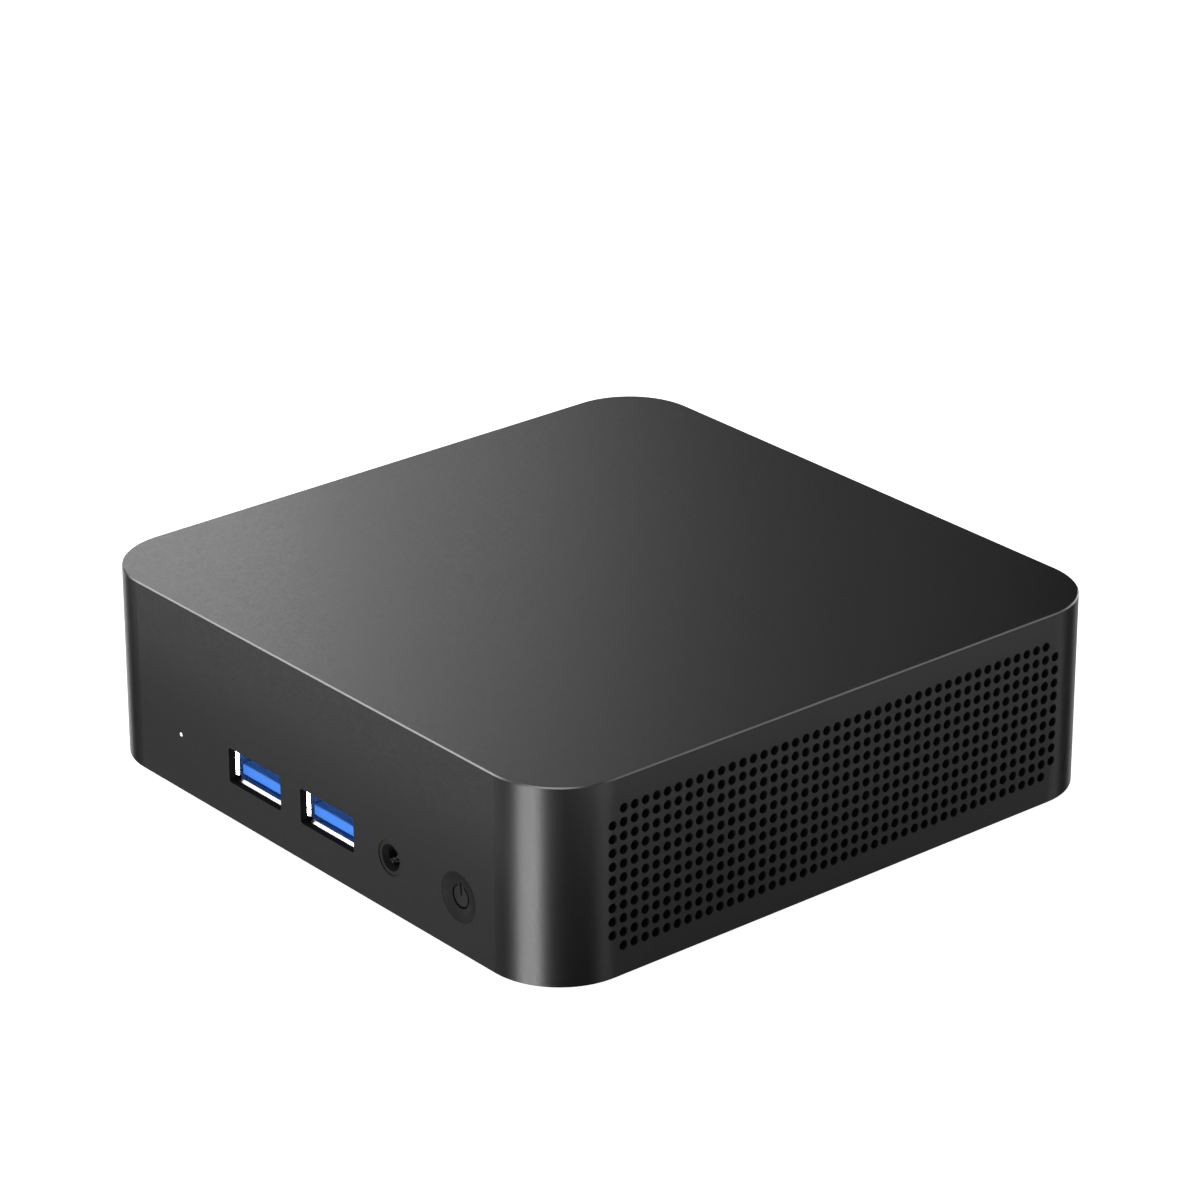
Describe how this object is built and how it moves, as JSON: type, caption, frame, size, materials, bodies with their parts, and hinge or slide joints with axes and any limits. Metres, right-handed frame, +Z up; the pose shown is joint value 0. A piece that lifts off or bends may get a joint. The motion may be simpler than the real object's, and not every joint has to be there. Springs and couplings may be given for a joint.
{
  "type": "mini pc",
  "caption": "Square palm-size desktop computer with rounded corners, perforated sides, front ports and a dished power button.",
  "frame": {"origin": "on the desk under the middle of the body, level with the underside of the feet", "axes": "+Z up through the top; -Y out of the front face with the power button; +X out of the perforated side on the right of someone facing the front"},
  "size_m": [0.115, 0.115, 0.0344],
  "materials": {
    "housing_grey": "satin",
    "black_plastic": "matte",
    "cover_black": "matte",
    "foot_rubber": "matte",
    "screw_steel": "satin",
    "insert_brass": "satin",
    "board_green": "satin",
    "port_steel": "polished",
    "usb_blue": "gloss",
    "button_grey": "satin",
    "light_pipe": "gloss",
    "chip_black": "matte",
    "cell_steel": "satin",
    "copper": "satin",
    "fin_aluminium": "satin",
    "silicon": "polished"
  },
  "bodies": {
    "chassis": {"audio_jack": "black_plastic", "battery_holder": "black_plastic", "board_screws": "screw_steel", "bottom_cover": "cover_black", "bottom_cover_screws": "screw_steel", "bracket_bushes": "insert_brass", "capacitors": "cell_steel", "coin_cell": "cell_steel", "cold_plate": "copper", "dc_jack": "black_plastic", "dc_jack_pin": "port_steel", "drive_card": "board_green", "drive_chips": "chip_black", "drive_screw": "screw_steel", "drive_socket": "black_plastic", "drive_standoff": "insert_brass", "fan_bearing": "insert_brass", "fan_connector": "chip_black", "fan_cover": "fin_aluminium", "fan_housing": "black_plastic", "fan_lead": "black_plastic", "fan_posts": "black_plastic", "fan_stator": "copper", "fin_stack": "fin_aluminium", "front_usb_left_shell": "port_steel", "front_usb_left_tongue": "usb_blue", "front_usb_right_shell": "port_steel", "front_usb_right_tongue": "usb_blue", "hdmi_1_shell": "port_steel", "hdmi_1_tongue": "black_plastic", "hdmi_2_shell": "port_steel", "hdmi_2_tongue": "black_plastic", "heat_pipe": "copper", "housing": "housing_grey", "lan_socket": "port_steel", "led_light_pipe": "light_pipe", "left_vent_panel": "housing_grey", "mainboard": "board_green", "memory_chips": "chip_black", "memory_module": "board_green", "memory_socket": "black_plastic", "power_chokes": "chip_black", "processor_die": "silicon", "processor_package": "board_green", "rear_io_panel": "black_plastic", "rear_usb_shell": "port_steel", "rear_usb_tongue": "usb_blue", "right_vent_panel": "housing_grey", "rubber_feet": "foot_rubber", "status_led": "light_pipe", "switch_body": "chip_black", "threaded_inserts": "insert_brass", "wireless_card": "board_green"},
    "power_button": {"power_button": "button_grey"},
    "switch_plunger": {"switch_plunger": "black_plastic"},
    "fan_rotor": {"fan_rotor": "black_plastic", "fan_shaft": "screw_steel"}
  },
  "joints": [
    {"name": "power_press", "type": "slide", "parent": "chassis", "child": "power_button", "axis": [0, 1, 0], "range_m": [0, 0.0005], "stiffness_N_per_m": 2000},
    {"name": "plunger_press", "type": "slide", "parent": "chassis", "child": "switch_plunger", "axis": [0, 1, 0], "range_m": [0, 0.0005]},
    {"name": "fan_spin", "type": "hinge", "parent": "chassis", "child": "fan_rotor", "pos_m": [0.004, -0.006, 0.025], "axis": [0, 0, 1], "continuous": true}
  ],
  "couplings": [
    {"joint": "plunger_press", "follows": "power_press", "ratio": 1}
  ]
}
